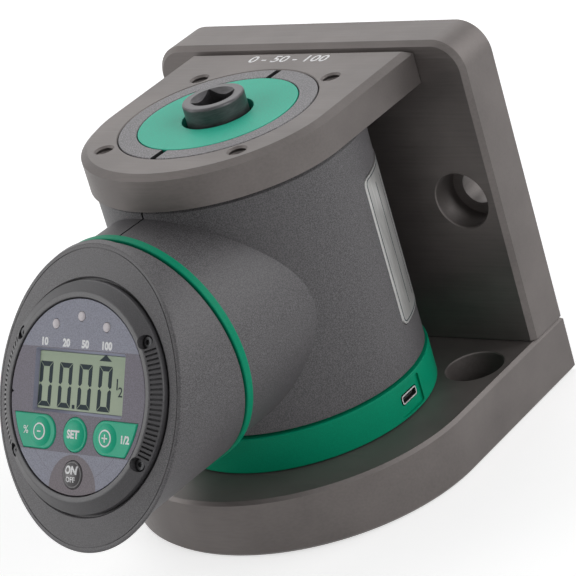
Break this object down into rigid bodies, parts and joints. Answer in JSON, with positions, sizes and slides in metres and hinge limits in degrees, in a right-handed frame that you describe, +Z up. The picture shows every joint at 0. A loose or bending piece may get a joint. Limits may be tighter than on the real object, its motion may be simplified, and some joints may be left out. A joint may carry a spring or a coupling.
{
  "type": "torque wrench tester",
  "caption": "Bench tester for torque wrenches: a square socket in a steel C bracket, with a swivelling housing and a round digital display on a tilted, turning head.",
  "frame": {"origin": "on the underside of the bottom plate, on the axis of the measuring shaft", "axes": "+Z up along the measuring shaft, -Y towards the display, +X to the right as seen from the display's side"},
  "size_m": [0.1128, 0.1619, 0.1195],
  "materials": {
    "ground_steel": "ground, dull",
    "blackened_steel": "black oxide",
    "bright_steel": "turned and ground",
    "grey_plastic": "fine grained moulding",
    "green_plastic": "fine grained moulding",
    "black_plastic": "moulded",
    "silver_plate": "brushed",
    "panel_film": "printed film",
    "lcd_glass": "reflective liquid crystal display",
    "light_lens": "diffusing lens",
    "board_green": "circuit board"
  },
  "bodies": {
    "base": {"bottom_plate": "ground_steel", "back_plate": "ground_steel", "top_plate": "ground_steel", "plate_screw_1": "blackened_steel", "plate_screw_2": "blackened_steel", "plate_screw_3": "blackened_steel", "shaft_screw_1": "blackened_steel", "shaft_screw_2": "blackened_steel", "shaft_screw_3": "blackened_steel", "shaft_screw_4": "blackened_steel", "top_screw_1": "blackened_steel", "top_screw_2": "blackened_steel", "measuring_shaft": "bright_steel", "base_band": "green_plastic", "socket_shell": "bright_steel", "socket_tongue": "black_plastic", "socket_board": "black_plastic"},
    "housing": {"housing_left": "grey_plastic", "housing_right": "grey_plastic", "top_disc": "green_plastic", "rating_plate": "silver_plate", "neck_ring": "green_plastic"},
    "head": {"head_shell": "grey_plastic", "face_ring": "grey_plastic"},
    "display": {"bezel": "grey_plastic", "bezel_screw_1": "blackened_steel", "bezel_screw_2": "blackened_steel", "bezel_screw_3": "blackened_steel", "bezel_screw_4": "blackened_steel", "display_cup": "black_plastic", "display_board": "board_green", "front_panel": "panel_film", "lcd_module": "lcd_glass", "status_light_1": "light_lens", "status_light_2": "light_lens", "status_light_3": "light_lens"},
    "minus_key": {"key_minus": "green_plastic"},
    "mode_key": {"key_mode": "green_plastic"},
    "plus_key": {"key_plus": "green_plastic"},
    "clear_key": {"key_clear": "black_plastic"}
  },
  "joints": [
    {"name": "housing_swivel", "type": "hinge", "parent": "base", "child": "housing", "pos_m": [0, 0, 0.06535], "axis": [0, 0, 1], "range_deg": [-86.2, 93.8]},
    {"name": "head_turn", "type": "hinge", "parent": "housing", "child": "head", "pos_m": [-0.00355, -0.05338, 0.06535], "axis": [-0.0663, -0.9978, 0], "range_deg": [-171.5, 158.5]},
    {"name": "display_turn", "type": "hinge", "parent": "head", "child": "display", "pos_m": [-0.0053, -0.0798, 0.06535], "axis": [-0.1143, -0.8568, 0.5028], "range_deg": [-160.2, 169.8]},
    {"name": "minus_press", "type": "slide", "parent": "display", "child": "minus_key", "axis": [0.1143, 0.8568, -0.5028], "range_m": [0, 0.0004], "stiffness_N_per_m": 2000},
    {"name": "mode_press", "type": "slide", "parent": "display", "child": "mode_key", "axis": [0.1143, 0.8568, -0.5028], "range_m": [0, 0.0004], "stiffness_N_per_m": 2000},
    {"name": "plus_press", "type": "slide", "parent": "display", "child": "plus_key", "axis": [0.1143, 0.8568, -0.5028], "range_m": [0, 0.0004], "stiffness_N_per_m": 2000},
    {"name": "clear_press", "type": "slide", "parent": "display", "child": "clear_key", "axis": [0.1143, 0.8568, -0.5028], "range_m": [0, 0.0004], "stiffness_N_per_m": 2000}
  ]
}
